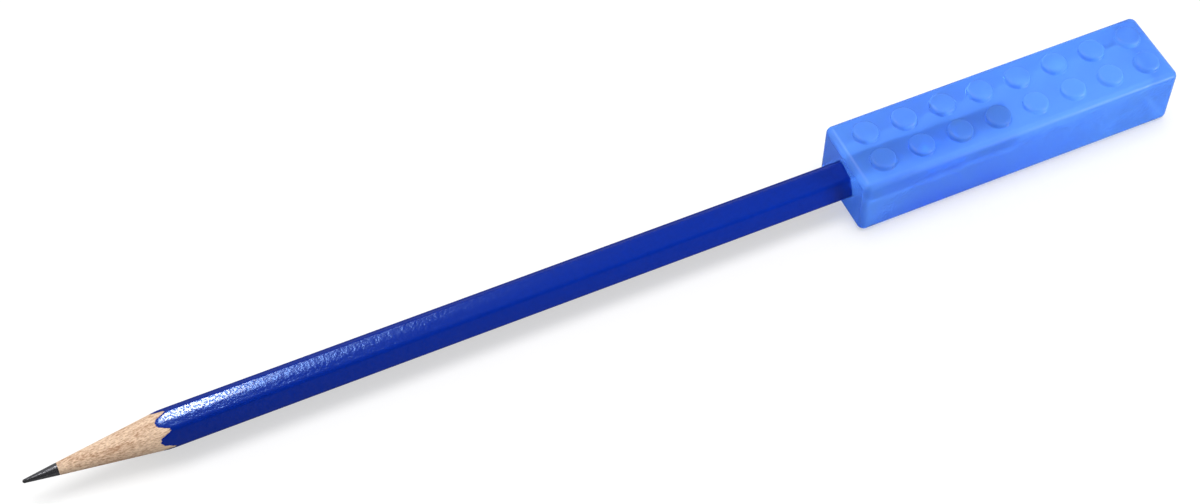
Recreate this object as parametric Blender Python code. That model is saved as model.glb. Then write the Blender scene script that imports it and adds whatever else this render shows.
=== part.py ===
"""A chewable topper pushed over the eraser end of a sharpened hexagonal pencil.

The origin is the centre of the topper's flat base. +X runs along the pencil towards the topper's closed
end, so the pencil's point is at -X, and +Z is up. Sizes are in metres.
"""

import math

import bmesh
import bpy
from mathutils import Matrix, Vector

MM = 0.001

# Topper: a soft block with rounded edges and two rows of low round studs.
TOPPER_LENGTH = 67.0 * MM
TOPPER_WIDTH = 16.4 * MM
TOPPER_HEIGHT = 13.1 * MM
TOPPER_EDGE_RADIUS = 1.4 * MM
STUD_ROWS = 2
STUD_COLUMNS = 8
STUD_DIAMETER = 5.0 * MM
STUD_HEIGHT = 1.1 * MM
STUD_EDGE_RADIUS = 0.3 * MM
STUD_ROOT = 0.5 * MM
STUD_PITCH_ALONG = 8.07 * MM
STUD_PITCH_ACROSS = 6.8 * MM
STUD_PATTERN_SHIFT = 0.75 * MM

# Socket: a blind hole that follows the pencil's hexagon.
SOCKET_DEPTH = 34.4 * MM
SOCKET_CLEARANCE = 0.2 * MM
SOCKET_END_GAP = 0.5 * MM
SOCKET_OVERCUT = 5.0 * MM

# Pencil: its length runs from the point to the eraser's end, and its width is measured over the lacquer.
PENCIL_LENGTH = 190.0 * MM
BARREL_ACROSS_FLATS = 6.9 * MM
BARREL_EDGE_RADIUS = 1.5 * MM
BARREL_ROLL = math.radians(9.3)
LACQUER_THICKNESS = 0.12 * MM
GLUE_GAP = 0.05 * MM
CORE_DIAMETER = 2.2 * MM
SHARPENING_ANGLE = math.radians(14.4)
POINT_DIAMETER = 0.7 * MM
POINT_CHAMFER = 0.12 * MM
WOOD_FRONT_EDGE = 0.12 * MM

# Ferrule and eraser.
FERRULE_LENGTH = 10.5 * MM
FERRULE_WALL = 0.25 * MM
FERRULE_BEADS = 3
FERRULE_BEAD_HEIGHT = 0.1 * MM
FERRULE_BEAD_WIDTH = 1.0 * MM
TENON_LENGTH = 5.3 * MM
TENON_STEP = 0.13 * MM
ERASER_SHOWING = 11.0 * MM
ERASER_EDGE_RADIUS = 0.5 * MM

# Facets of the curved stretches.
BLOCK_EDGE_STEPS = 4
STUD_SIDES = 24
STUD_EDGE_STEPS = 2
BARREL_EDGE_STEPS = 4
BARREL_FLAT_STEPS = 6
BEAD_STEPS = 2
SHARP_ANGLE = math.radians(35)

HEXAGON_SIDES = 6
SECTOR = math.tau / HEXAGON_SIDES

# Places on the pencil's axis, measured from the topper's mouth and growing into the socket.
ERASER_END = SOCKET_DEPTH - SOCKET_END_GAP
FERRULE_END = ERASER_END - ERASER_SHOWING
SHOULDER = FERRULE_END - FERRULE_LENGTH
CASING_END = SHOULDER + TENON_LENGTH
POINT = ERASER_END - PENCIL_LENGTH

# Radii that follow from the layers of the pencil, from the lacquer inwards.
CASING_INSET = LACQUER_THICKNESS + GLUE_GAP
TENON_RADIUS = BARREL_ACROSS_FLATS / 2 - CASING_INSET - TENON_STEP
FERRULE_BORE_RADIUS = TENON_RADIUS + GLUE_GAP
FERRULE_RADIUS = FERRULE_BORE_RADIUS + FERRULE_WALL
CORE_RADIUS = CORE_DIAMETER / 2
GROOVE_RADIUS = CORE_RADIUS + GLUE_GAP
CONE_SLOPE = math.tan(SHARPENING_ANGLE / 2)

WIDEST_PENCIL = max(BARREL_ACROSS_FLATS, 2 * (FERRULE_RADIUS + FERRULE_BEAD_HEIGHT))
SOCKET_ACROSS_FLATS = WIDEST_PENCIL + 2 * SOCKET_CLEARANCE


def remove_old_objects():
    for obj in list(bpy.data.objects):
        bpy.data.objects.remove(obj, do_unlink=True)


def make_material(name, color, roughness, metallic=0.0, alpha=1.0):
    material = bpy.data.materials.new(name)
    material.use_nodes = True
    shader = material.node_tree.nodes["Principled BSDF"]
    shader.inputs["Base Color"].default_value = (*color, 1.0)
    shader.inputs["Roughness"].default_value = roughness
    shader.inputs["Metallic"].default_value = metallic
    shader.inputs["Alpha"].default_value = alpha
    return material


def make_object(name, bm, material=None, parent=None):
    """Turn a bmesh into a named object with outward faces, smooth where it is round."""
    bmesh.ops.recalc_face_normals(bm, faces=bm.faces[:])
    mesh = bpy.data.meshes.new(name)
    bm.to_mesh(mesh)
    bm.free()
    mesh.shade_smooth()
    mesh.set_sharp_from_angle(angle=SHARP_ANGLE)
    if material:
        mesh.materials.append(material)
    obj = bpy.data.objects.new(name, mesh)
    bpy.context.scene.collection.objects.link(obj)
    obj.parent = parent
    return obj


def mark_as_cutter(obj):
    obj.hide_render = True
    obj.display_type = "WIRE"


def add_boolean(obj, operation, other):
    modifier = obj.modifiers.new(operation.lower(), "BOOLEAN")
    modifier.operation = operation
    modifier.object = other


def constant(value):
    return lambda angle: value


def rounded_hexagon(across_flats, edge_radius):
    """The radius of a hexagon with rounded edges, as a function of the angle from one of its edges."""
    half_flat = across_flats / 2
    edge_radius = max(edge_radius, 0.0)
    arc_centre = (half_flat - edge_radius) / math.cos(SECTOR / 2)
    arc_reach = edge_half_angle(across_flats, edge_radius)

    def radius(angle):
        turn = abs((angle + SECTOR / 2) % SECTOR - SECTOR / 2)
        if turn < arc_reach:
            aside = arc_centre * math.sin(turn)
            return arc_centre * math.cos(turn) + math.sqrt(edge_radius**2 - aside**2)
        return half_flat / math.cos(SECTOR / 2 - turn)

    return radius


def edge_half_angle(across_flats, edge_radius):
    """Half the angle, seen from the axis, that one rounded edge of a hexagon takes up."""
    arc_centre = (across_flats / 2 - edge_radius) / math.cos(SECTOR / 2)
    arc_end_along = arc_centre + edge_radius * math.cos(SECTOR / 2)
    arc_end_aside = edge_radius * math.sin(SECTOR / 2)
    return math.atan2(arc_end_aside, arc_end_along)


def barrel_angles():
    """Angles round the barrel: close together on the rounded edges, wider apart on the flats."""
    reach = edge_half_angle(BARREL_ACROSS_FLATS, BARREL_EDGE_RADIUS)
    flat = SECTOR - 2 * reach
    angles = []
    for side in range(HEXAGON_SIDES):
        edge_start = side * SECTOR - reach
        flat_start = side * SECTOR + reach
        angles += [edge_start + 2 * reach * step / BARREL_EDGE_STEPS for step in range(BARREL_EDGE_STEPS + 1)]
        angles += [flat_start + flat * step / BARREL_FLAT_STEPS for step in range(1, BARREL_FLAT_STEPS)]
    return angles


def ring(radius, station):
    """One ring of points round the pencil's axis. Radius and station are functions of the angle."""
    return [
        Vector((station(angle), radius(angle) * math.cos(angle), radius(angle) * math.sin(angle)))
        for angle in barrel_angles()
    ]


def round_ring(radius, station):
    return ring(constant(radius), constant(station))


def cone_station(radius):
    """Where the sharpened cone has this radius."""
    return POINT + (radius - POINT_DIAMETER / 2) / CONE_SLOPE


def cone_end(outline):
    """Where the sharpened cone runs out on an outline: its scalloped edge, as a function of the angle."""
    return lambda angle: cone_station(outline(angle))


def skin(rings, is_tube):
    """Skin a run of rings. A tube's last ring joins its first, and a rod's ends are capped."""
    bm = bmesh.new()
    loops = [[bm.verts.new(point) for point in points] for points in rings]
    pairs = list(zip(loops, loops[1:]))
    if is_tube:
        pairs.append((loops[-1], loops[0]))
    else:
        bm.faces.new(loops[0])
        bm.faces.new(loops[-1])
    for near, far in pairs:
        for index, vert in enumerate(near):
            after = (index + 1) % len(near)
            bm.faces.new((vert, near[after], far[after], far[index]))
    return bm


def make_pencil_axis():
    """An empty at the middle of the topper's mouth, along the pencil and turned as the pencil is turned."""
    axis = bpy.data.objects.new("pencil_axis", None)
    axis.location = (-TOPPER_LENGTH / 2, 0.0, TOPPER_HEIGHT / 2)
    axis.rotation_euler = (BARREL_ROLL, 0.0, 0.0)
    bpy.context.scene.collection.objects.link(axis)
    return axis


def make_block():
    """A box with all its edges rounded, standing on its base."""
    bm = bmesh.new()
    size = Matrix.Diagonal((TOPPER_LENGTH, TOPPER_WIDTH, TOPPER_HEIGHT, 1.0))
    bmesh.ops.create_cube(bm, size=1.0, matrix=Matrix.Translation((0.0, 0.0, TOPPER_HEIGHT / 2)) @ size)
    bmesh.ops.bevel(
        bm,
        geom=bm.edges[:],
        offset=TOPPER_EDGE_RADIUS,
        segments=BLOCK_EDGE_STEPS,
        profile=0.5,
        affect="EDGES",
    )
    return bm


def add_stud(bm, x, y):
    """One stud with a rounded rim, its root sunk into the block."""
    height = STUD_ROOT + STUD_HEIGHT
    middle = TOPPER_HEIGHT - STUD_ROOT + height / 2
    made = bmesh.ops.create_cone(
        bm,
        cap_ends=True,
        segments=STUD_SIDES,
        radius1=STUD_DIAMETER / 2,
        radius2=STUD_DIAMETER / 2,
        depth=height,
        matrix=Matrix.Translation((x, y, middle)),
    )
    top_verts = {vert for vert in made["verts"] if vert.co.z > middle}
    rim = [edge for edge in bm.edges if set(edge.verts) <= top_verts]
    bmesh.ops.bevel(
        bm,
        geom=rim,
        offset=STUD_EDGE_RADIUS,
        segments=STUD_EDGE_STEPS,
        profile=0.5,
        affect="EDGES",
    )


def make_studs():
    bm = bmesh.new()
    for column in range(STUD_COLUMNS):
        x = STUD_PATTERN_SHIFT + (column - (STUD_COLUMNS - 1) / 2) * STUD_PITCH_ALONG
        for row in range(STUD_ROWS):
            add_stud(bm, x, (row - (STUD_ROWS - 1) / 2) * STUD_PITCH_ACROSS)
    studs = make_object("stud_pattern", bm)
    mark_as_cutter(studs)
    return studs


def make_socket(axis):
    outline = rounded_hexagon(SOCKET_ACROSS_FLATS, BARREL_EDGE_RADIUS + SOCKET_CLEARANCE)
    rings = [ring(outline, constant(-SOCKET_OVERCUT)), ring(outline, constant(SOCKET_DEPTH))]
    socket = make_object("socket_space", skin(rings, is_tube=False), parent=axis)
    mark_as_cutter(socket)
    return socket


def make_topper(axis):
    elastomer = make_material("blue_elastomer", (0.10, 0.27, 0.92), roughness=0.45, alpha=0.75)
    topper = make_object("topper_body", make_block(), elastomer)
    add_boolean(topper, "UNION", make_studs())
    add_boolean(topper, "DIFFERENCE", make_socket(axis))


def make_lacquer(axis):
    """The lacquer film: a thin hexagonal sleeve whose front end the sharpener has cut to scallops."""
    lacquer = make_material("blue_lacquer", (0.008, 0.032, 0.30), roughness=0.18)
    outer = rounded_hexagon(BARREL_ACROSS_FLATS, BARREL_EDGE_RADIUS)
    inner_flats = BARREL_ACROSS_FLATS - 2 * LACQUER_THICKNESS
    inner = rounded_hexagon(inner_flats, BARREL_EDGE_RADIUS - LACQUER_THICKNESS)
    back = constant(SHOULDER - GLUE_GAP)
    rings = [ring(inner, cone_end(inner)), ring(outer, cone_end(outer)), ring(outer, back), ring(inner, back)]
    make_object("lacquer_coat", skin(rings, is_tube=True), lacquer, axis)


def casing_rings():
    """The wooden casing as one grooved rod: sharpened in front, with a round tenon behind."""
    barrel = rounded_hexagon(BARREL_ACROSS_FLATS - 2 * CASING_INSET, BARREL_EDGE_RADIUS - CASING_INSET)
    front_radius = GROOVE_RADIUS + WOOD_FRONT_EDGE
    front = cone_station(front_radius)
    return [
        round_ring(GROOVE_RADIUS, front),
        round_ring(front_radius, front),
        ring(barrel, cone_end(barrel)),
        ring(barrel, constant(SHOULDER - GLUE_GAP)),
        round_ring(TENON_RADIUS, SHOULDER - GLUE_GAP),
        round_ring(TENON_RADIUS, CASING_END),
        round_ring(GROOVE_RADIUS, CASING_END),
    ]


def make_slats(axis):
    """Split the casing along the plane through two of its edges, where its two slats are glued."""
    wood = make_material("cedar", (0.60, 0.42, 0.27), roughness=0.7)
    for name, side in (("casing_slat_upper", 1.0), ("casing_slat_lower", -1.0)):
        bm = skin(casing_rings(), is_tube=True)
        bmesh.ops.bisect_plane(
            bm,
            geom=bm.verts[:] + bm.edges[:] + bm.faces[:],
            plane_co=(0.0, 0.0, side * GLUE_GAP / 2),
            plane_no=(0.0, 0.0, side),
            clear_inner=True,
        )
        bmesh.ops.holes_fill(bm, edges=[edge for edge in bm.edges if edge.is_boundary])
        make_object(name, bm, wood, axis)


def make_core(axis):
    graphite = make_material("graphite", (0.055, 0.053, 0.065), roughness=0.35)
    point_radius = POINT_DIAMETER / 2
    rings = [
        round_ring(point_radius - POINT_CHAMFER, POINT),
        round_ring(point_radius + POINT_CHAMFER * CONE_SLOPE, POINT + POINT_CHAMFER),
        round_ring(CORE_RADIUS, cone_station(CORE_RADIUS)),
        round_ring(CORE_RADIUS, CASING_END),
    ]
    make_object("graphite_core", skin(rings, is_tube=False), graphite, axis)


def bead_rings(middle):
    """One half-round bead that stands out of the ferrule's outer wall."""
    rings = []
    for step in range(BEAD_STEPS + 1):
        turn = math.pi * step / BEAD_STEPS
        station = middle - FERRULE_BEAD_WIDTH / 2 * math.cos(turn)
        rings.append(round_ring(FERRULE_RADIUS + FERRULE_BEAD_HEIGHT * math.sin(turn), station))
    return rings


def make_ferrule(axis):
    metal = make_material("ferrule_metal", (0.66, 0.66, 0.68), roughness=0.3, metallic=1.0)
    rings = [round_ring(FERRULE_BORE_RADIUS, SHOULDER), round_ring(FERRULE_RADIUS, SHOULDER)]
    for bead in range(FERRULE_BEADS):
        rings += bead_rings(SHOULDER + FERRULE_LENGTH * (bead + 1) / (FERRULE_BEADS + 1))
    rings += [round_ring(FERRULE_RADIUS, FERRULE_END), round_ring(FERRULE_BORE_RADIUS, FERRULE_END)]
    make_object("ferrule", skin(rings, is_tube=True), metal, axis)


def make_eraser(axis):
    pink = make_material("eraser_pink", (0.75, 0.25, 0.27), roughness=0.8)
    radius = FERRULE_BORE_RADIUS - GLUE_GAP
    rings = [
        round_ring(radius, CASING_END + GLUE_GAP),
        round_ring(radius, ERASER_END - ERASER_EDGE_RADIUS),
        round_ring(radius - ERASER_EDGE_RADIUS, ERASER_END),
    ]
    make_object("eraser", skin(rings, is_tube=False), pink, axis)


def main():
    remove_old_objects()
    axis = make_pencil_axis()
    make_topper(axis)
    make_lacquer(axis)
    make_slats(axis)
    make_core(axis)
    make_ferrule(axis)
    make_eraser(axis)


main()
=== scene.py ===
"""Looks of a chewable pencil topper on its pencil, laid out as an add-on and run as a script.

Each piece of the dressed model has an operator, and the sizes and colours that a user would change are
properties of the scene. Everything is in metres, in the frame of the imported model: +X along the pencil
towards the topper's closed end, +Z up, origin at the centre of the topper's base.
"""

import math

import bmesh
import bpy
from mathutils import Matrix, Vector, noise


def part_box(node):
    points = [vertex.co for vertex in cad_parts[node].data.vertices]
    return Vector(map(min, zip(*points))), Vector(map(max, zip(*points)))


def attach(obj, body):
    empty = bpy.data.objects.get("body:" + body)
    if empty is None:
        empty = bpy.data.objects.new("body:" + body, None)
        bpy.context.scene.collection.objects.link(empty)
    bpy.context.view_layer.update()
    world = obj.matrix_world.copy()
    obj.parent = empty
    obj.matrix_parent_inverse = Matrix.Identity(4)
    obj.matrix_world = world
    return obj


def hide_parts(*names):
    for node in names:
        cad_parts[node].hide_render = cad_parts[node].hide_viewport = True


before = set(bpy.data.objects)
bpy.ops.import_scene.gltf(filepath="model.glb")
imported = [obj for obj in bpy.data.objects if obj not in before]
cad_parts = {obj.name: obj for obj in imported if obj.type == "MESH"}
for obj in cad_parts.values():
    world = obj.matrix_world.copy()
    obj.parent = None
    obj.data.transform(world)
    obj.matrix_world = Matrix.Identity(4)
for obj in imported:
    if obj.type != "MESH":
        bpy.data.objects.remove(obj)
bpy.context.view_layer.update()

bl_info = {
    "name": "Chewable pencil topper",
    "version": (1, 0, 0),
    "blender": (4, 5, 0),
    "location": "View3D > Sidebar > Topper",
    "description": "Dresses a soft studded pencil topper and the pencil that it sits on",
    "category": "Object",
}

MM = 0.001

# Places that the frame gives.
TOPPER_LOW, TOPPER_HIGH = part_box("topper_body")
CORE_LOW, CORE_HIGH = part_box("graphite_core")
FERRULE_LOW, FERRULE_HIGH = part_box("ferrule")
ERASER_LOW, ERASER_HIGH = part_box("eraser")
MOUTH = TOPPER_LOW.x
POINT = CORE_LOW.x
CASING_END = CORE_HIGH.x
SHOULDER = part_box("lacquer_coat")[1].x
AXIS_HEIGHT = (CORE_LOW.z + CORE_HIGH.z) / 2
CORE_RADIUS = (CORE_HIGH.y - CORE_LOW.y) / 2
FERRULE_RADIUS = (FERRULE_HIGH.y - FERRULE_LOW.y) / 2
ERASER_RADIUS = (ERASER_HIGH.y - ERASER_LOW.y) / 2

HEXAGON_SIDES = 6
SECTOR = math.tau / HEXAGON_SIDES

# How finely round shapes are divided.
STUD_SIDES = 64
SOCKET_SIDES = 144
BARREL_SIDES = 360
LEAD_SIDES = 96
FERRULE_SIDES = 128
ERASER_SIDES = 96
SLAT_STEPS = 120
CONE_STEPS = 24
BEAD_STEPS = 8
BLOCK_EDGE_STEPS = 10

# Room for clean cuts and joins.
SPARE = 0.5 * MM
OVERCUT = 3.0 * MM

# Small forms.
STUD_SINK = 0.012 * MM
STUD_CROWN = 0.02 * MM
STUD_CROWN_SHARE = 0.4
CHIP_DEPTH = 0.3 * MM
CHIP_FINENESS = 13.0
WOOD_LAND = 0.02 * MM
WOOD_WAVER = 0.25 * MM
WOOD_WAVER_SHIFT = 0.3
WOOD_WAVER_FINENESS = 5.0
ERASER_ROUNDING = 0.7 * MM

# The floor. Where the camera sees it, its tone is raised and it glows a little.
FLOOR_REACH = 3.0
FLOOR_DROP = 0.02 * MM
FLOOR_TONE = 0.2
FLOOR_TONE_ADDED = 0.3
FLOOR_GLOW = 0.5
FLOOR_GLOW_THROUGH_BLOCK = 0.95

# The room and its lamps. Gloss mirrors only a part of the room's light.
ROOM_LIGHT = 1.1
ROOM_LIGHT_NOT_MIRRORED = 0.6
WHITE = (1.0, 1.0, 1.0, 1.0)

# Each softbox: name, place, target, size, power in watts, spread in degrees, whether gloss mirrors it.
SOFTBOXES = (
    ("key_softbox", (-0.122, 0.185, 0.494), (-0.15, 0.0, 0.0), (0.04, 0.12), 0.8, 180.0, True),
    ("line_softbox", (-0.055, 0.28, 0.494), (-0.13, 0.0, 0.0), (0.11, 0.05), 0.1, 180.0, True),
    ("point_softbox", (-0.3, 0.02, 0.55), (-0.185, 0.0, 0.006), (0.1, 0.06), 0.28, 180.0, True),
    ("front_softbox", (0.24, -0.26, 0.07), (0.01, -0.008, 0.006), (0.24, 0.1), 0.16, 44.0, False),
    ("mouth_softbox", (-0.3, -0.12, 0.15), (-0.034, 0.0, 0.006), (0.1, 0.1), 0.018, 24.0, False),
)

# Where a Mix node keeps its colour sockets, whose names repeat.
MIX_FACTOR = 0
MIX_FIRST = 6
MIX_SECOND = 7
MIX_RESULT = 2


# Properties.


def length(name, description, millimetres):
    return bpy.props.FloatProperty(
        name=name, description=description, default=millimetres * MM, min=0.0, unit="LENGTH", precision=6
    )


def angle(name, description, degrees):
    return bpy.props.FloatProperty(
        name=name, description=description, default=math.radians(degrees), subtype="ANGLE"
    )


def share(name, description, default):
    return bpy.props.FloatProperty(
        name=name, description=description, default=default, min=0.0, max=1.0, subtype="FACTOR"
    )


def color(name, description, default):
    return bpy.props.FloatVectorProperty(
        name=name, description=description, default=default, size=3, min=0.0, max=1.0, subtype="COLOR"
    )


def count(name, description, default):
    return bpy.props.IntProperty(name=name, description=description, default=default, min=1)


class TopperLook(bpy.types.PropertyGroup):
    """Sizes and finish of the soft studded block."""

    edge_radius: length("Edge radius", "Rounding of the block's edges", 1.4)
    stud_columns: count("Stud columns", "Studs along the block", 8)
    stud_rows: count("Stud rows", "Studs across the block", 2)
    stud_diameter: length("Stud diameter", "Diameter of a stud's wall", 5.0)
    stud_height: length("Stud height", "How far a stud stands out of the top face", 1.1)
    stud_rim_radius: length("Stud rim radius", "Rounding of a stud's upper rim", 0.6)
    stud_foot_radius: length("Stud foot radius", "Fillet where a stud meets the top face", 0.3)
    stud_pitch_along: length("Stud pitch along", "Distance between columns of studs", 8.07)
    stud_pitch_across: length("Stud pitch across", "Distance between rows of studs", 6.8)
    stud_shift: length("Stud shift", "How far the pattern sits towards the closed end", 0.75)
    socket_gap: length("Socket gap", "Room between the socket's wall and the barrel", 0.2)
    socket_gap_inside: length("Inner socket gap", "Room between the socket's wall and the eraser end", 0.1)
    socket_lip: length("Socket lip", "Rounding of the socket's mouth", 0.25)
    # Painted shade: a darker copy of the blue, laid on the block low down round the pencil inside.
    painted_shade_blue: color("Deep blue", "Blue of the elastomer low down round the pencil", (0.1, 0.28, 1.0))
    pale_color: color("Pale blue", "Blue of the elastomer elsewhere", (0.135, 0.385, 1.0))
    roughness: share("Roughness", "Satin of the moulded surface", 0.24)
    clearness: share("Clearness", "Share of light that passes without being scattered", 0.66)


class PencilLook(bpy.types.PropertyGroup):
    """Sizes and finishes of the pencil."""

    across_flats: length("Across flats", "Width of the lacquered barrel across its flats", 6.9)
    edge_radius: length("Edge radius", "Rounding of the barrel's long edges", 1.1)
    facet_crown: length("Facet crown", "How far the long edges are drawn in, which domes the flats", 0.08)
    roll: angle("Roll", "Turn of the pencil in its socket", 9.3)
    lacquer_thickness: length("Lacquer thickness", "Thickness of the lacquer film", 0.12)
    sharpening_angle: angle("Sharpening angle", "Full angle of the sharpened cone", 14.4)
    point_diameter: length("Point diameter", "Width of the blunted point", 0.7)
    glue_gap: length("Glue gap", "Gap between glued pieces", 0.05)
    tenon_radius: length("Tenon radius", "Radius of the turned end in the ferrule", 3.15)
    ferrule_wall: length("Ferrule wall", "Thickness of the ferrule", 0.25)
    ferrule_beads: count("Ferrule beads", "Raised rings on the ferrule", 3)
    bead_height: length("Bead height", "How far a bead stands out", 0.1)
    bead_width: length("Bead width", "Width of one bead", 1.0)
    lacquer_color: color("Lacquer", "Blue of the barrel", (0.0008, 0.015, 0.22))
    wood_pale_color: color("Pale wood", "Light streaks of the sharpened wood", (0.87, 0.655, 0.475))
    wood_dark_color: color("Dark wood", "Dark streaks of the sharpened wood", (0.42, 0.21, 0.11))
    graphite_color: color("Graphite", "Grey of the lead", (0.1, 0.1, 0.108))
    ferrule_color: color("Ferrule", "Grey of the ferrule's metal", (0.66, 0.66, 0.68))
    eraser_color: color("Eraser", "Pink of the eraser", (0.75, 0.25, 0.27))


class StageLook(bpy.types.PropertyGroup):
    """Camera, floor and light."""

    camera_place: bpy.props.FloatVectorProperty(
        name="Camera place",
        description="Where the camera stands",
        default=(-0.19245, -0.22757, 0.35586),
        subtype="TRANSLATION",
        unit="LENGTH",
    )
    camera_target: bpy.props.FloatVectorProperty(
        name="Camera target",
        description="The point in the middle of the picture",
        default=(-0.08114, 0.00341, 0.00655),
        subtype="TRANSLATION",
        unit="LENGTH",
    )
    camera_roll: angle("Camera roll", "Turn of the camera about its line of sight", 1.09)
    camera_lens: bpy.props.FloatProperty(
        name="Lens", description="Focal length for a 36 mm sensor", default=72.12, unit="CAMERA"
    )


# Node trees, written as expressions.


class Wire:
    """One socket of a node tree. Python's operators on it add Math nodes."""

    def __init__(self, build, socket):
        self.build = build
        self.socket = socket

    def output(self, name):
        return Wire(self.build, self.socket.node.outputs[name])

    def math(self, operation, *values):
        return self.build.math(operation, self, *values)

    def __add__(self, other):
        return self.math("ADD", other)

    __radd__ = __add__

    def __sub__(self, other):
        return self.math("SUBTRACT", other)

    def __rsub__(self, other):
        return self.build.math("SUBTRACT", other, self)

    def __mul__(self, other):
        return self.math("MULTIPLY", other)

    __rmul__ = __mul__

    def __truediv__(self, other):
        return self.math("DIVIDE", other)

    def __rtruediv__(self, other):
        return self.build.math("DIVIDE", other, self)


class Builder:
    """Adds nodes to one tree, and sets or links their sockets."""

    def __init__(self, tree):
        self.tree = tree

    def node(self, kind, settings=None, sockets=None, output=0):
        made = self.tree.nodes.new(kind)
        for name, value in (settings or {}).items():
            if name == "stops":
                self.set_stops(made.color_ramp, value)
            else:
                setattr(made, name, value)
        for key, value in (sockets or {}).items():
            if isinstance(value, Wire):
                self.tree.links.new(value.socket, made.inputs[key])
            else:
                made.inputs[key].default_value = value
        return Wire(self, made.outputs[output]) if made.outputs else None

    def set_stops(self, ramp, stops):
        while len(ramp.elements) < len(stops):
            ramp.elements.new(1.0)
        for element, (position, value) in zip(ramp.elements, stops):
            element.position = position
            element.color = (value, value, value, 1.0)

    def math(self, operation, *values):
        return self.node("ShaderNodeMath", {"operation": operation}, dict(enumerate(values)))

    def mix_color(self, factor, first, second):
        sockets = {MIX_FACTOR: factor, MIX_FIRST: (*first, 1.0), MIX_SECOND: (*second, 1.0)}
        return self.node("ShaderNodeMix", {"data_type": "RGBA"}, sockets, output=MIX_RESULT)

    def place(self, shift=(0.0, 0.0, 0.0), turn=(0.0, 0.0, 0.0), stretch=(1.0, 1.0, 1.0)):
        """The piece's own coordinates, shifted, then turned and stretched."""
        own = self.node("ShaderNodeTexCoord", output="Object")
        moved = self.node("ShaderNodeVectorMath", {"operation": "ADD"}, {0: own, 1: shift})
        return self.node("ShaderNodeMapping", sockets={"Vector": moved, "Rotation": turn, "Scale": stretch})

    def noise(self, vector, scale, detail=2.0, roughness=0.5):
        sockets = {"Vector": vector, "Scale": scale, "Detail": detail, "Roughness": roughness}
        return self.node("ShaderNodeTexNoise", sockets=sockets)

    def ramp(self, factor, *stops):
        return self.node("ShaderNodeValToRGB", {"stops": stops}, {"Fac": factor})

    def bump(self, height, distance, strength=1.0):
        return self.node(
            "ShaderNodeBump", sockets={"Height": height, "Distance": distance, "Strength": strength}
        )

    def split(self, vector):
        first = self.node("ShaderNodeSeparateXYZ", sockets={0: vector}, output="X")
        return first, first.output("Y"), first.output("Z")

    def principled(self, **sockets):
        named = {name.replace("_", " "): value for name, value in sockets.items()}
        shader = self.node("ShaderNodeBsdfPrincipled", sockets=named)
        self.node("ShaderNodeOutputMaterial", sockets={"Surface": shader})


def new_material(name):
    material = bpy.data.materials.new(name)
    material.use_nodes = True
    material.node_tree.nodes.clear()
    return material, Builder(material.node_tree)


# Materials.


def toned(paint, factor):
    return tuple(factor * part for part in paint)


def pencil_place(build, stretch=(1.0, 1.0, 1.0)):
    """Coordinates along the pencil's axis, with the pencil's roll taken out."""
    roll = bpy.context.scene.pencil_look.roll
    return build.place(shift=(0.0, 0.0, -AXIS_HEIGHT), turn=(-roll, 0.0, 0.0), stretch=stretch)


def elastomer_material():
    look = bpy.context.scene.topper_look
    material, build = new_material("blue_elastomer")
    place = build.place()
    along, _, height = build.split(place)
    cloud = build.noise(place, scale=110.0, detail=3.0)
    grain = build.noise(place, scale=2600.0)
    reach = (along - MOUTH) / (TOPPER_HIGH.x - MOUTH)
    # Painted shade: the blue turns darker towards the bottom round the pencil inside, from the mouth to
    # past the middle.
    painted_shade_by_pencil = build.ramp(reach, (0.0, 0.0), (0.2, 1.0), (0.45, 0.8), (0.8, 0.0))
    low = 1.0 - height / TOPPER_HIGH.z
    # Painted shade, with the moulding's own random cloudy mottling added on top.
    painted_shade_and_cloud = painted_shade_by_pencil * low + 0.7 * (cloud - 0.5)
    shade = build.mix_color(build.ramp(painted_shade_and_cloud, (0.0, 0.0), (0.7, 1.0)), look.pale_color, look.painted_shade_blue)
    build.principled(
        Base_Color=shade,
        Roughness=look.roughness + 0.1 * (cloud - 0.5),
        IOR=1.36,
        Transmission_Weight=look.clearness,
        Normal=build.bump(grain, distance=0.02 * MM, strength=0.3),
    )
    return material


def lacquer_material():
    look = bpy.context.scene.pencil_look
    material, build = new_material("blue_lacquer")
    place = pencil_place(build)
    peel = build.noise(place, scale=900.0)
    pits = build.noise(place, scale=2600.0)
    shade = build.mix_color(peel, look.lacquer_color, toned(look.lacquer_color, 1.25))
    facing = build.node("ShaderNodeLayerWeight", sockets={"Blend": 0.5}, output="Facing")
    sheer = build.ramp(facing, (0.3, 1.0), (0.7, 0.05))
    speckle = build.ramp(pits, (0.46, 0.02), (0.54, 1.0))
    build.principled(
        Base_Color=shade,
        Roughness=build.ramp(facing, (0.5, 0.2), (0.85, 0.8)),
        Specular_IOR_Level=0.5,
        Specular_Tint=(0.3, 0.52, 1.0, 1.0),
        Coat_Weight=0.6 * sheer * speckle,
        Coat_Roughness=0.1,
        Coat_IOR=1.5,
        Normal=build.bump(peel + 0.5 * pits, distance=0.06 * MM),
    )
    return material


def cedar_material():
    look = bpy.context.scene.pencil_look
    material, build = new_material("cedar")
    fine = pencil_place(build, stretch=(0.3, 1.0, 1.0))
    broad = pencil_place(build, stretch=(0.1, 1.0, 1.0))
    fibres = build.noise(fine, scale=4400.0, detail=4.0, roughness=0.65)
    bands = build.noise(broad, scale=700.0)
    streak = build.ramp(0.7 * fibres + 0.3 * bands, (0.36, 0.0), (0.56, 1.0))
    build.principled(
        Base_Color=build.mix_color(streak, look.wood_dark_color, look.wood_pale_color),
        Roughness=0.62 + 0.2 * fibres,
        Normal=build.bump(fibres, distance=0.08 * MM, strength=0.9),
    )
    return material


def graphite_material():
    look = bpy.context.scene.pencil_look
    material, build = new_material("graphite")
    place = pencil_place(build, stretch=(0.15, 1.0, 1.0))
    scratches = build.noise(place, scale=5200.0, detail=3.0)
    shade = build.mix_color(scratches, look.graphite_color, toned(look.graphite_color, 2.0))
    build.principled(
        Base_Color=shade,
        Roughness=0.2 + 0.12 * scratches,
        Metallic=0.8,
        Normal=build.bump(scratches, distance=0.02 * MM, strength=0.7),
    )
    return material


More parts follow.
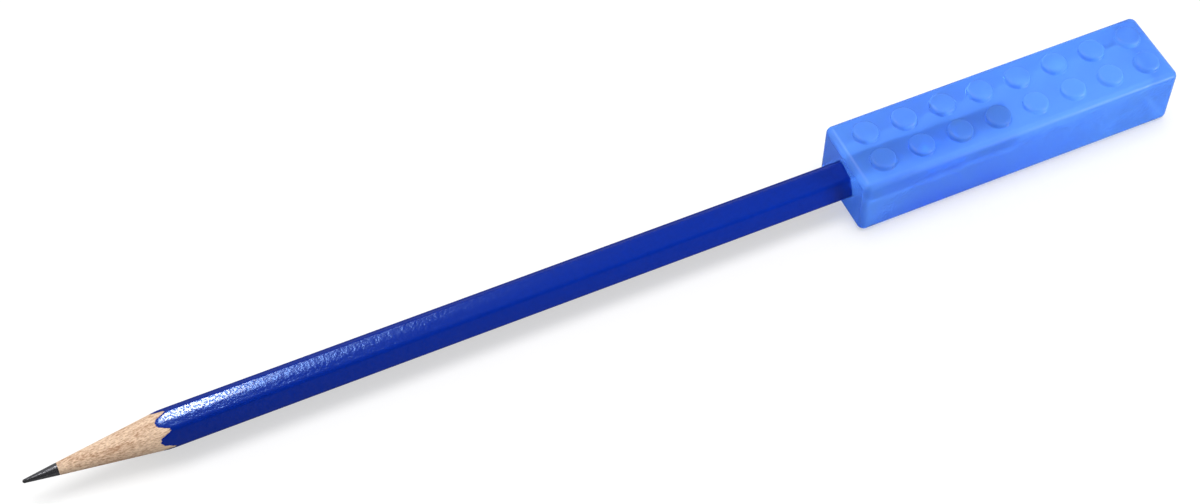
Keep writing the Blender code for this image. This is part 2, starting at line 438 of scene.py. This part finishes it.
def ferrule_material():
    look = bpy.context.scene.pencil_look
    material, build = new_material("ferrule_metal")
    brushed = build.noise(pencil_place(build, stretch=(6.0, 0.6, 0.6)), scale=900.0, detail=3.0)
    dull = build.noise(pencil_place(build), scale=500.0)
    shade = build.mix_color(0.4 * dull, look.ferrule_color, toned(look.ferrule_color, 0.6))
    build.principled(
        Base_Color=shade,
        Metallic=1.0,
        Roughness=0.22 + 0.25 * brushed,
        Normal=build.bump(brushed, distance=0.01 * MM, strength=0.5),
    )
    return material


def eraser_material():
    look = bpy.context.scene.pencil_look
    material, build = new_material("eraser_pink")
    place = pencil_place(build)
    crumbs = build.noise(place, scale=2600.0, detail=3.0)
    smudge = build.noise(place, scale=300.0, detail=3.0)
    worn = build.ramp(smudge, (0.5, 0.0), (0.8, 0.6))
    shade = build.mix_color(worn, look.eraser_color, toned(look.eraser_color, 0.7))
    build.principled(
        Base_Color=shade,
        Roughness=0.75 + 0.15 * crumbs,
        Normal=build.bump(crumbs, distance=0.06 * MM, strength=0.6),
    )
    return material


# Meshes.


def rounded_hexagon(across_flats, edge_radius, crown):
    """The radius of a hexagon with rounded edges, as a function of the angle from one of its edges.

    The crown is how far the edges are drawn in, which leaves the flats a little domed.
    """
    half_flat = across_flats / 2
    edge_radius = max(edge_radius, 0.0)
    arc_centre = (half_flat - edge_radius) / math.cos(SECTOR / 2)
    arc_reach = math.atan2(
        edge_radius * math.sin(SECTOR / 2), arc_centre + edge_radius * math.cos(SECTOR / 2)
    )

    def radius(turn):
        turn = abs((turn + SECTOR / 2) % SECTOR - SECTOR / 2)
        drawn_in = crown * math.cos(math.pi * turn / SECTOR) ** 2
        if turn < arc_reach:
            aside = arc_centre * math.sin(turn)
            return arc_centre * math.cos(turn) + math.sqrt(edge_radius**2 - aside**2) - drawn_in
        return half_flat / math.cos(SECTOR / 2 - turn) - drawn_in

    return radius


def barrel_outline(pencil, outset):
    return rounded_hexagon(
        pencil.across_flats + 2 * outset, pencil.edge_radius + outset, pencil.facet_crown
    )


def constant(value):
    return lambda turn: value


def even_angles(sides):
    return [math.tau * step / sides for step in range(sides)]


def ring(radius, station, angles):
    """Points round the X axis. Radius and station are functions of the angle."""
    return [
        Vector((station(turn), radius(turn) * math.cos(turn), radius(turn) * math.sin(turn)))
        for turn in angles
    ]


def turned_rings(profile, sides):
    """Rings round the X axis through (radius, station) points."""
    angles = even_angles(sides)
    return [ring(constant(radius), constant(station), angles) for radius, station in profile]


def arc(radius, station, size, start, end, steps):
    """(radius, station) points along an arc about a centre, from one angle to another in degrees."""
    points = []
    for step in range(steps + 1):
        turn = math.radians(start + (end - start) * step / steps)
        points.append((radius + size * math.cos(turn), station + size * math.sin(turn)))
    return points


def skin(rings, is_tube=False):
    """Skin a run of rings. A tube's last ring joins its first, and a rod's ends are capped."""
    bm = bmesh.new()
    loops = [[bm.verts.new(point) for point in points] for points in rings]
    pairs = list(zip(loops, loops[1:]))
    if is_tube:
        pairs.append((loops[-1], loops[0]))
    else:
        bm.faces.new(loops[0])
        bm.faces.new(loops[-1])
    for near, far in pairs:
        for index, vert in enumerate(near):
            after = (index + 1) % len(near)
            bm.faces.new((vert, near[after], far[after], far[index]))
    bmesh.ops.recalc_face_normals(bm, faces=bm.faces[:])
    return bm


def pencil_matrix():
    """From the pencil's own axis, with an edge of the hexagon at +Y, to the frame."""
    roll = bpy.context.scene.pencil_look.roll
    return Matrix.Translation((0.0, 0.0, AXIS_HEIGHT)) @ Matrix.Rotation(roll, 4, "X")


def new_object(name, bm, matrix=Matrix.Identity(4)):
    bm.transform(matrix)
    mesh = bpy.data.meshes.new(name)
    bm.to_mesh(mesh)
    bm.free()
    obj = bpy.data.objects.new(name, mesh)
    bpy.context.scene.collection.objects.link(obj)
    return obj


def bake_modifiers(obj):
    """Turn an object's evaluated shape into a plain mesh."""
    evaluated = obj.evaluated_get(bpy.context.evaluated_depsgraph_get())
    obj.data = bpy.data.meshes.new_from_object(evaluated)
    obj.modifiers.clear()


def smooth(obj, sharp_degrees):
    """Shade round stretches smooth, with the flats' own normals kept on the flats."""
    obj.data.shade_smooth()
    obj.data.set_sharp_from_angle(angle=math.radians(sharp_degrees))
    weighted = obj.modifiers.new("flat faces lead", "WEIGHTED_NORMAL")
    weighted.keep_sharp = True
    bake_modifiers(obj)


def dress(obj, body, slot, *nodes):
    """Hang a piece on the empty of its body and hide the solids that it stands for; the slot is not used.
    """
    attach(obj, body)
    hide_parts(*nodes)


# Geometry Nodes.


def pattern_tree():
    """A base shape joined with copies of another on a grid of points, less a cutter, in one material."""
    tree = bpy.data.node_groups.new("pattern_on_a_base", "GeometryNodeTree")
    sockets = {}

    def add_input(name, kind):
        sockets[name] = tree.interface.new_socket(name=name, in_out="INPUT", socket_type=kind).identifier

    add_input("Base", "NodeSocketGeometry")
    add_input("Copied shape", "NodeSocketObject")
    add_input("Cutter", "NodeSocketObject")
    add_input("Columns", "NodeSocketInt")
    add_input("Rows", "NodeSocketInt")
    add_input("Length", "NodeSocketFloat")
    add_input("Width", "NodeSocketFloat")
    add_input("Place", "NodeSocketVector")
    add_input("Material", "NodeSocketMaterial")
    tree.interface.new_socket(name="Result", in_out="OUTPUT", socket_type="NodeSocketGeometry")

    build = Builder(tree)
    given = build.node("NodeGroupInput")
    grid = build.node(
        "GeometryNodeMeshGrid",
        sockets={
            "Size X": given.output("Length"),
            "Size Y": given.output("Width"),
            "Vertices X": given.output("Columns"),
            "Vertices Y": given.output("Rows"),
        },
    )
    placed = build.node(
        "GeometryNodeTransform", sockets={"Geometry": grid, "Translation": given.output("Place")}
    )
    shape = build.node(
        "GeometryNodeObjectInfo", sockets={"Object": given.output("Copied shape")}, output="Geometry"
    )
    copies = build.node("GeometryNodeInstanceOnPoints", sockets={"Points": placed, "Instance": shape})
    joined = build.node("GeometryNodeMeshBoolean", {"operation": "UNION", "solver": "EXACT"})
    for part in (given.output("Base"), copies):
        tree.links.new(part.socket, joined.socket.node.inputs["Mesh 2"])
    cutter = build.node(
        "GeometryNodeObjectInfo", sockets={"Object": given.output("Cutter")}, output="Geometry"
    )
    cut = build.node(
        "GeometryNodeMeshBoolean",
        {"operation": "DIFFERENCE", "solver": "EXACT"},
        {"Mesh 1": joined, "Mesh 2": cutter},
    )
    whole = build.node("GeometryNodeRealizeInstances", sockets={"Geometry": cut})
    painted = build.node(
        "GeometryNodeSetMaterial", sockets={"Geometry": whole, "Material": given.output("Material")}
    )
    build.node("NodeGroupOutput", sockets={"Result": painted})
    return tree, sockets


def apply_pattern(base, **values):
    """Run the pattern tree on a base object, and drop the shapes that it was made from."""
    tree, sockets = pattern_tree()
    base.data.materials.append(values["Material"])
    modifier = base.modifiers.new("pattern", "NODES")
    modifier.node_group = tree
    for name, value in values.items():
        modifier[sockets[name.replace("_", " ")]] = value
    bake_modifiers(base)
    bpy.data.objects.remove(values["Copied_shape"])
    bpy.data.objects.remove(values["Cutter"])


# The pieces.


def block_shape(look):
    size = TOPPER_HIGH - TOPPER_LOW
    height = size.z - look.stud_height
    bm = bmesh.new()
    scaled = Matrix.Diagonal((size.x, size.y, height, 1.0))
    bmesh.ops.create_cube(bm, size=1.0, matrix=Matrix.Translation((0.0, 0.0, height / 2)) @ scaled)
    bmesh.ops.bevel(
        bm,
        geom=bm.edges[:],
        offset=look.edge_radius,
        segments=BLOCK_EDGE_STEPS,
        profile=0.5,
        affect="EDGES",
    )
    return bm


def stud_shape(look):
    """One stud standing on z = 0, with a root below it, a fillet at its foot and a rounded rim."""
    wall = look.stud_diameter / 2
    foot = look.stud_foot_radius
    rim = look.stud_rim_radius
    top = look.stud_height
    profile = [(wall + foot, -SPARE)]
    profile += arc(wall + foot, foot - STUD_SINK, foot, start=270, end=180, steps=6)
    profile += arc(wall - rim, top - rim, rim, start=0, end=90, steps=6)
    profile += [(wall * STUD_CROWN_SHARE, top + STUD_CROWN)]
    bm = skin(turned_rings(profile, STUD_SIDES))
    bm.transform(Matrix.Rotation(-math.pi / 2, 4, "Y"))
    return bm


def socket_shape(look, pencil):
    """The space in the block: it follows the barrel, then the ferrule, then the eraser."""
    angles = even_angles(SOCKET_SIDES)
    barrel = barrel_outline(pencil, look.socket_gap)
    ferrule = FERRULE_RADIUS + look.socket_gap_inside
    eraser = ERASER_RADIUS + look.socket_gap_inside
    lip = look.socket_lip

    def flared(extra):
        return lambda turn: barrel(turn) + extra

    rings = [ring(flared(lip), constant(MOUTH - OVERCUT), angles)]
    for radius, station in arc(lip, lip, lip, start=270, end=180, steps=6):
        rings.append(ring(flared(radius), constant(MOUTH + station), angles))
    rings.append(ring(barrel, constant(SHOULDER), angles))
    for radius, station in (
        (ferrule, SHOULDER + SPARE),
        (ferrule, FERRULE_HIGH.x),
        (eraser, FERRULE_HIGH.x + SPARE),
        (eraser, ERASER_HIGH.x),
        (eraser - SPARE, ERASER_HIGH.x + SPARE),
    ):
        rings.append(ring(constant(radius), constant(station), angles))
    return skin(rings)


def make_topper():
    look = bpy.context.scene.topper_look
    pencil = bpy.context.scene.pencil_look
    block = new_object("topper_block", block_shape(look))
    apply_pattern(
        block,
        Copied_shape=new_object("stud", stud_shape(look)),
        Cutter=new_object("socket", socket_shape(look, pencil), pencil_matrix()),
        Columns=look.stud_columns,
        Rows=look.stud_rows,
        Length=(look.stud_columns - 1) * look.stud_pitch_along,
        Width=(look.stud_rows - 1) * look.stud_pitch_across,
        Place=(look.stud_shift, 0.0, TOPPER_HIGH.z - look.stud_height),
        Material=elastomer_material(),
    )
    smooth(block, sharp_degrees=40)
    dress(block, "topper", "blue_elastomer", "topper_body")


def cone_station(pencil, radius):
    """Where the sharpened cone has this radius."""
    return POINT + (radius - pencil.point_diameter / 2) / math.tan(pencil.sharpening_angle / 2)


def roughly(turn, fineness):
    """A ragged number of about -1 to 1 that comes back to itself after a full turn."""
    spot = Vector((fineness * math.cos(turn), fineness * math.sin(turn), fineness))
    dimension = 1.0
    lacunarity = 2.0
    octaves = 3
    return noise.fractal(spot, dimension, lacunarity, octaves)


def make_lacquer():
    pencil = bpy.context.scene.pencil_look
    thickness = pencil.lacquer_thickness
    outer = barrel_outline(pencil, 0.0)
    inner = barrel_outline(pencil, -thickness)

    def ragged(outline):
        def station(turn):
            return cone_station(pencil, outline(turn)) + CHIP_DEPTH * roughly(turn, CHIP_FINENESS)

        return station

    angles = even_angles(BARREL_SIDES)
    back = constant(SHOULDER)
    rings = [
        ring(inner, ragged(inner), angles),
        ring(outer, ragged(outer), angles),
        ring(outer, back, angles),
        ring(inner, back, angles),
    ]
    barrel = new_object("lacquer_barrel", skin(rings, is_tube=True), pencil_matrix())
    barrel.data.materials.append(lacquer_material())
    smooth(barrel, sharp_degrees=40)
    dress(barrel, "pencil", "blue_lacquer", "lacquer_coat")


def slat_rings(pencil, start):
    """Half of the grooved casing: outlines along the axis, each from glued edge to glued edge."""
    inset = pencil.lacquer_thickness + pencil.glue_gap
    barrel = barrel_outline(pencil, -inset)
    groove = CORE_RADIUS + pencil.glue_gap / 4
    margin = pencil.glue_gap / 2 / (pencil.across_flats / 2)
    span = math.pi - 2 * margin
    angles = [start + margin + span * step / SLAT_STEPS for step in range(SLAT_STEPS + 1)]
    front = cone_station(pencil, groove + WOOD_LAND)
    slope = math.tan(pencil.sharpening_angle / 2)

    def outline(radius, station, inner_station):
        outside = ring(radius, station, angles)
        inside = ring(constant(groove), constant(inner_station), angles)
        return outside + inside[::-1]

    def along_cone(part):
        def station(turn):
            waver = WOOD_WAVER_SHIFT + roughly(turn, WOOD_WAVER_FINENESS)
            first = front + WOOD_WAVER * max(0.0, waver)
            return first + part * (cone_station(pencil, barrel(turn)) - first)

        def radius(turn):
            return pencil.point_diameter / 2 + (station(turn) - POINT) * slope

        return radius, station

    rings = []
    reach = cone_station(pencil, pencil.across_flats / 2) - front
    for step in range(CONE_STEPS + 1):
        radius, station = along_cone(step / CONE_STEPS)
        rings.append(outline(radius, station, front + reach * step / CONE_STEPS))
    shoulder = SHOULDER - pencil.glue_gap
    rings.append(outline(barrel, constant(shoulder), shoulder))
    rings.append(outline(constant(pencil.tenon_radius), constant(shoulder), shoulder))
    rings.append(outline(constant(pencil.tenon_radius), constant(CASING_END), CASING_END))
    return rings


def make_slats():
    pencil = bpy.context.scene.pencil_look
    wood = cedar_material()
    for name, start, node in (
        ("cedar_slat_upper", 0.0, "casing_slat_upper"),
        ("cedar_slat_lower", math.pi, "casing_slat_lower"),
    ):
        slat = new_object(name, skin(slat_rings(pencil, start)), pencil_matrix())
        slat.data.materials.append(wood)
        smooth(slat, sharp_degrees=35)
        dress(slat, "pencil", "cedar", node)


def make_lead():
    pencil = bpy.context.scene.pencil_look
    tip = pencil.point_diameter / 2
    profile = arc(0.0, POINT + tip, tip, start=275, end=350, steps=8)
    profile += [(CORE_RADIUS, cone_station(pencil, CORE_RADIUS)), (CORE_RADIUS, CASING_END)]
    lead = new_object("graphite_lead", skin(turned_rings(profile, LEAD_SIDES)), pencil_matrix())
    lead.data.materials.append(graphite_material())
    smooth(lead, sharp_degrees=35)
    dress(lead, "pencil", "graphite", "graphite_core")


def make_ferrule():
    pencil = bpy.context.scene.pencil_look
    outer = FERRULE_RADIUS - pencil.bead_height
    bore = outer - pencil.ferrule_wall
    span = FERRULE_HIGH.x - FERRULE_LOW.x
    rounding = pencil.ferrule_wall / 3
    inset = outer - rounding
    wall = arc(inset, FERRULE_LOW.x + rounding, rounding, start=270, end=360, steps=4)
    wall += arc(inset, FERRULE_HIGH.x - rounding, rounding, start=0, end=90, steps=4)
    tube = new_object("ferrule_sleeve", skin(turned_rings(wall, FERRULE_SIDES)), pencil_matrix())
    half = pencil.bead_width / 2
    profile = [(bore, -half), (inset, -half)]
    for step in range(1, BEAD_STEPS):
        swell = math.sin(math.pi * step / BEAD_STEPS) ** 2
        profile.append((outer + pencil.bead_height * swell, half * (2 * step / BEAD_STEPS - 1)))
    profile += [(inset, half), (bore, half)]
    bead = new_object("bead", skin(turned_rings(profile, FERRULE_SIDES), is_tube=True))
    hole = [(bore, FERRULE_LOW.x - OVERCUT), (bore, FERRULE_HIGH.x + OVERCUT)]
    cutter = new_object("bore", skin(turned_rings(hole, FERRULE_SIDES)), pencil_matrix())
    beads = pencil.ferrule_beads
    apply_pattern(
        tube,
        Copied_shape=bead,
        Cutter=cutter,
        Columns=beads,
        Rows=1,
        Length=span * (beads - 1) / (beads + 1),
        Width=0.0,
        Place=((FERRULE_LOW.x + FERRULE_HIGH.x) / 2, 0.0, AXIS_HEIGHT),
        Material=ferrule_material(),
    )
    smooth(tube, sharp_degrees=40)
    dress(tube, "pencil", "ferrule_metal", "ferrule")


def make_eraser():
    rounding = ERASER_ROUNDING
    profile = [(ERASER_RADIUS, ERASER_LOW.x)]
    profile += arc(
        ERASER_RADIUS - rounding, ERASER_HIGH.x - rounding, rounding, start=0, end=88, steps=8
    )
    eraser = new_object("eraser_plug", skin(turned_rings(profile, ERASER_SIDES)), pencil_matrix())
    eraser.data.materials.append(eraser_material())
    smooth(eraser, sharp_degrees=40)
    dress(eraser, "pencil", "eraser_pink", "eraser")


# The stage.


def floor_material():
    """A pale floor that is evenly white to the camera, apart from the object's shadow."""
    material, build = new_material("pale_floor")
    ray = build.node("ShaderNodeLightPath", output="Is Camera Ray")
    tone = FLOOR_TONE + FLOOR_TONE_ADDED * ray
    matt = build.node("ShaderNodeBsdfDiffuse", sockets={"Color": tone})
    through_block = ray.output("Is Transmission Ray")
    strength = FLOOR_GLOW * ray + FLOOR_GLOW_THROUGH_BLOCK * through_block
    glow = build.node("ShaderNodeEmission", sockets={"Color": WHITE, "Strength": strength})
    both = build.node("ShaderNodeAddShader", sockets={0: matt, 1: glow})
    build.node("ShaderNodeOutputMaterial", sockets={"Surface": both})
    return material


def make_floor():
    bm = bmesh.new()
    bmesh.ops.create_grid(bm, x_segments=1, y_segments=1, size=FLOOR_REACH)
    floor = new_object("floor", bm, Matrix.Translation((0.0, 0.0, -FLOOR_DROP)))
    floor.data.materials.append(floor_material())
    return floor


def make_world():
    """A white room with a dimmer ceiling, whose front half gives less light."""
    world = bpy.data.worlds.new("white_room")
    world.use_nodes = True
    world.node_tree.nodes.clear()
    build = Builder(world.node_tree)
    _, away, height = build.split(build.node("ShaderNodeTexCoord", output="Generated"))
    ceiling = build.ramp(height, (0.3, 1.0), (0.8, 0.5))
    light = ROOM_LIGHT * build.ramp(0.5 + 0.5 * away, (0.2, 0.1), (0.75, 1.0))
    ray = build.node("ShaderNodeLightPath", output="Is Camera Ray")
    seen = ray.math("MAXIMUM", ray.output("Is Transmission Ray"))
    gathered = light * (1.0 - ROOM_LIGHT_NOT_MIRRORED * ray.output("Is Glossy Ray"))
    strength = ceiling * (seen + (1.0 - seen) * gathered)
    sky = build.node("ShaderNodeBackground", sockets={"Color": WHITE, "Strength": strength})
    build.node("ShaderNodeOutputWorld", sockets={"Surface": sky})
    bpy.context.scene.world = world


def light_group(name, obj, state):
    """A group of what a light falls on: one object alone, or all but that object."""
    group = bpy.data.collections.new(name)
    group.objects.link(obj)
    group.collection_objects[0].light_linking.link_state = state
    return group


def add_softbox(lit, name, place, target, size, power, spread, mirrored):
    """A lamp with a flat front. A small spread stands for the grid on that front."""
    lamp = bpy.data.lights.new(name, "AREA")
    lamp.shape = "RECTANGLE"
    lamp.size, lamp.size_y = size
    lamp.energy = power
    lamp.spread = math.radians(spread)
    obj = bpy.data.objects.new(name, lamp)
    obj.location = place
    obj.rotation_euler = (Vector(target) - Vector(place)).to_track_quat("-Z", "Y").to_euler()
    obj.visible_glossy = mirrored
    obj.light_linking.receiver_collection = lit
    bpy.context.scene.collection.objects.link(obj)


def add_even_light(lit, name, strength, place, spread):
    """An even light from above with a soft shadow. It isn't mirrored in the lacquer."""
    lamp = bpy.data.lights.new(name, "SUN")
    lamp.energy = strength
    lamp.angle = math.radians(spread)
    obj = bpy.data.objects.new(name, lamp)
    obj.location = place
    obj.rotation_euler = (-Vector(place)).to_track_quat("-Z", "Y").to_euler()
    obj.visible_glossy = False
    obj.light_linking.receiver_collection = lit
    bpy.context.scene.collection.objects.link(obj)


def make_camera(look):
    camera = bpy.data.cameras.new("photo_view")
    camera.lens = look.camera_lens
    camera.sensor_width = 36.0
    camera.clip_start = 0.01
    obj = bpy.data.objects.new("photo_view", camera)
    place = Vector(look.camera_place)
    sight = (Vector(look.camera_target) - place).to_track_quat("-Z", "Y").to_matrix().to_4x4()
    obj.matrix_world = Matrix.Translation(place) @ sight @ Matrix.Rotation(look.camera_roll, 4, "Z")
    bpy.context.scene.collection.objects.link(obj)
    bpy.context.scene.camera = obj


def make_stage():
    floor = make_floor()
    make_world()
    floor_alone = light_group("floor_alone", floor, "INCLUDE")
    all_but_floor = light_group("all_but_the_floor", floor, "EXCLUDE")
    add_even_light(None, "overhead_light", strength=0.95, place=(0.2, -0.15, 0.6), spread=50.0)
    add_even_light(floor_alone, "shadow_light", strength=1.5, place=(0.0, 0.05, 0.6), spread=30.0)
    for softbox in SOFTBOXES:
        add_softbox(all_but_floor, *softbox)
    make_camera(bpy.context.scene.stage_look)
    bpy.context.scene.view_settings.view_transform = "Standard"


# Operators and panel.


class TOPPER_OT_block(bpy.types.Operator):
    """Make the soft studded block with its socket"""

    bl_idname = "topper.block"
    bl_label = "Studded block"

    def execute(self, context):
        make_topper()
        return {"FINISHED"}


class TOPPER_OT_lacquer(bpy.types.Operator):
    """Make the lacquered barrel with its scalloped end"""

    bl_idname = "topper.lacquer"
    bl_label = "Lacquered barrel"

    def execute(self, context):
        make_lacquer()
        return {"FINISHED"}


class TOPPER_OT_slats(bpy.types.Operator):
    """Make the two cedar slats with their sharpened cone"""

    bl_idname = "topper.slats"
    bl_label = "Cedar slats"

    def execute(self, context):
        make_slats()
        return {"FINISHED"}


class TOPPER_OT_lead(bpy.types.Operator):
    """Make the graphite lead"""

    bl_idname = "topper.lead"
    bl_label = "Lead"

    def execute(self, context):
        make_lead()
        return {"FINISHED"}


class TOPPER_OT_ferrule(bpy.types.Operator):
    """Make the beaded ferrule"""

    bl_idname = "topper.ferrule"
    bl_label = "Ferrule"

    def execute(self, context):
        make_ferrule()
        return {"FINISHED"}


class TOPPER_OT_eraser(bpy.types.Operator):
    """Make the eraser"""

    bl_idname = "topper.eraser"
    bl_label = "Eraser"

    def execute(self, context):
        make_eraser()
        return {"FINISHED"}


class TOPPER_OT_stage(bpy.types.Operator):
    """Make the floor, the light and the camera"""

    bl_idname = "topper.stage"
    bl_label = "Stage"

    def execute(self, context):
        make_stage()
        return {"FINISHED"}


OPERATORS = (
    TOPPER_OT_block,
    TOPPER_OT_lacquer,
    TOPPER_OT_slats,
    TOPPER_OT_lead,
    TOPPER_OT_ferrule,
    TOPPER_OT_eraser,
    TOPPER_OT_stage,
)
LOOKS = {"topper_look": TopperLook, "pencil_look": PencilLook, "stage_look": StageLook}


class TOPPER_PT_panel(bpy.types.Panel):
    """Lists the pieces and their properties"""

    bl_label = "Pencil topper"
    bl_idname = "TOPPER_PT_panel"
    bl_space_type = "VIEW_3D"
    bl_region_type = "UI"
    bl_category = "Topper"

    def draw(self, context):
        for operator in OPERATORS:
            self.layout.operator(operator.bl_idname)
        for name, group in LOOKS.items():
            column = self.layout.column(align=True)
            for field in group.__annotations__:
                column.prop(getattr(context.scene, name), field)


CLASSES = (*LOOKS.values(), *OPERATORS, TOPPER_PT_panel)


def register():
    for cls in CLASSES:
        bpy.utils.register_class(cls)
    for name, group in LOOKS.items():
        setattr(bpy.types.Scene, name, bpy.props.PointerProperty(type=group))


def unregister():
    for name in LOOKS:
        delattr(bpy.types.Scene, name)
    for cls in reversed(CLASSES):
        bpy.utils.unregister_class(cls)


def main():
    register()
    bpy.ops.topper.block()
    bpy.ops.topper.lacquer()
    bpy.ops.topper.slats()
    bpy.ops.topper.lead()
    bpy.ops.topper.ferrule()
    bpy.ops.topper.eraser()
    bpy.ops.topper.stage()


if __name__ == "__main__":
    main()
